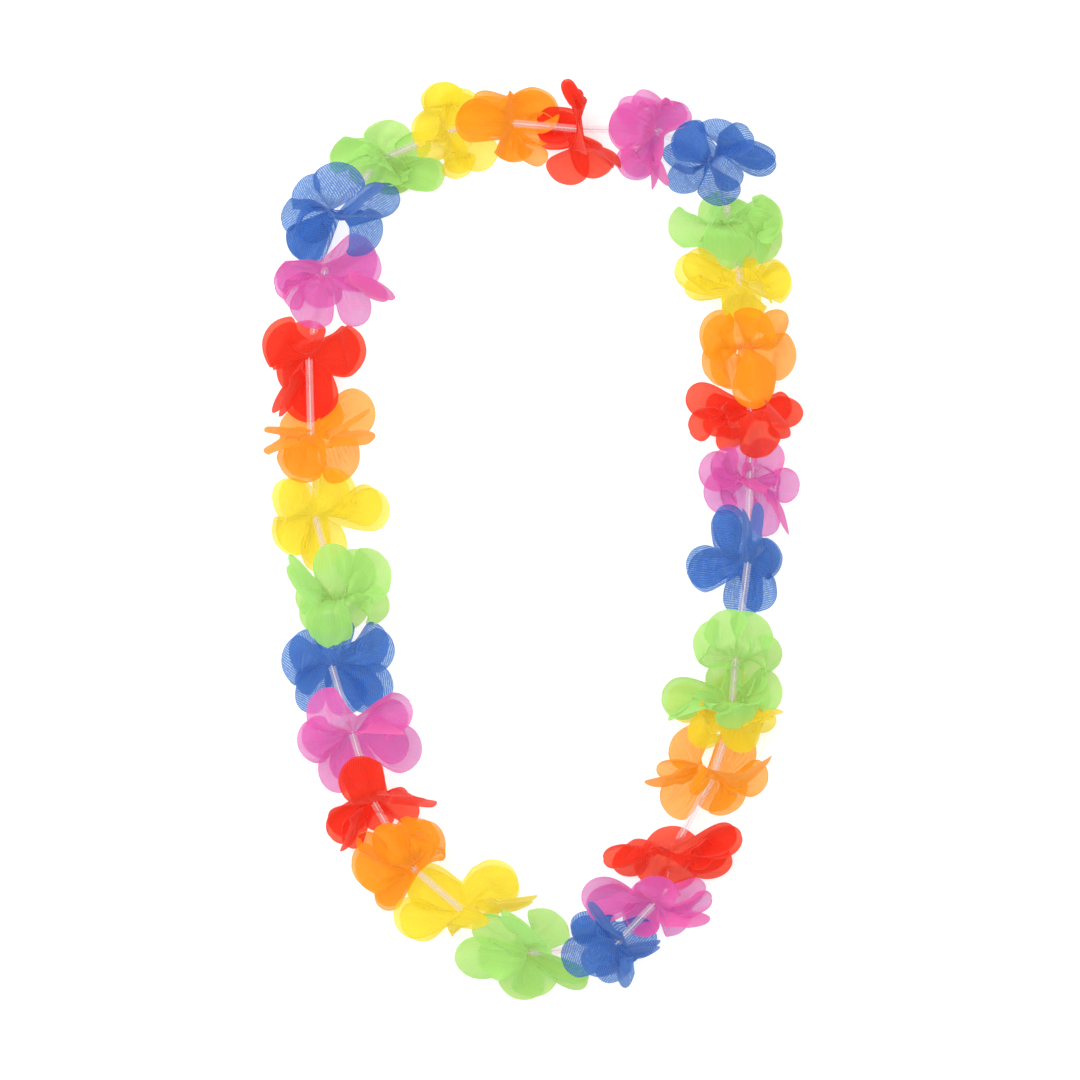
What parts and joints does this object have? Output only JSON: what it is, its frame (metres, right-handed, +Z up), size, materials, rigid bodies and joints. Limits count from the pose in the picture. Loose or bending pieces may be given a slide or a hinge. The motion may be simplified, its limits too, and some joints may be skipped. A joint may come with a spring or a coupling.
{
  "type": "cloth flower lei",
  "caption": "Party lei of sheer cloth flowers in rainbow colours, strung on a thread with clear straw spacers and laid flat in a tall oval.",
  "frame": {"origin": "middle of the lei's outline, on the surface that it lies on", "axes": "+X to the wearer's left across the oval, +Y along the oval's length, +Z up from the surface"},
  "size_m": [0.2708, 0.462, 0.0331],
  "materials": {
    "petal_green": "sheer green polyester organza, crisp, fine weave, cut edges, soft sheen",
    "petal_yellow": "sheer yellow polyester organza, crisp, fine weave, cut edges, soft sheen",
    "petal_orange": "sheer orange polyester organza, crisp, fine weave, cut edges, soft sheen",
    "petal_red": "sheer red polyester organza, crisp, fine weave, cut edges, soft sheen",
    "petal_purple": "sheer purple polyester organza, crisp, fine weave, cut edges, soft sheen",
    "petal_blue": "sheer blue polyester organza, crisp, fine weave, cut edges, soft sheen",
    "straw": "clear thin-walled plastic drinking-straw tube, glossy",
    "thread": "white two-ply sewing thread, matt"
  },
  "bodies": {
    "root": {"flower_01_green": "petal_green", "flower_02_yellow": "petal_yellow", "flower_03_orange": "petal_orange", "flower_04_red": "petal_red", "flower_05_purple": "petal_purple", "flower_06_blue": "petal_blue", "flower_07_green": "petal_green", "flower_08_yellow": "petal_yellow", "flower_09_orange": "petal_orange", "flower_10_red": "petal_red", "flower_11_purple": "petal_purple", "flower_12_blue": "petal_blue", "flower_13_green": "petal_green", "flower_14_green": "petal_green", "flower_15_yellow": "petal_yellow", "flower_16_orange": "petal_orange", "flower_17_red": "petal_red", "flower_18_purple": "petal_purple", "flower_19_blue": "petal_blue", "flower_20_green": "petal_green", "flower_21_yellow": "petal_yellow", "flower_22_orange": "petal_orange", "flower_23_red": "petal_red", "flower_24_purple": "petal_purple", "flower_25_blue": "petal_blue", "flower_26_green": "petal_green", "flower_27_yellow": "petal_yellow", "flower_28_orange": "petal_orange", "flower_29_red": "petal_red", "flower_30_purple": "petal_purple", "flower_31_blue": "petal_blue", "straw_01": "straw", "straw_02": "straw", "straw_03": "straw", "straw_04": "straw", "straw_05": "straw", "straw_06": "straw", "straw_08": "straw", "straw_09": "straw", "straw_10": "straw", "straw_11": "straw", "straw_12": "straw", "straw_13": "straw", "straw_15": "straw", "straw_16": "straw", "straw_17": "straw", "straw_18": "straw", "straw_19": "straw", "straw_21": "straw", "straw_22": "straw", "straw_23": "straw", "straw_24": "straw", "straw_25": "straw", "straw_26": "straw", "straw_27": "straw", "straw_28": "straw", "straw_29": "straw", "straw_30": "straw", "straw_31": "straw", "thread": "thread"}
  },
  "joints": []
}
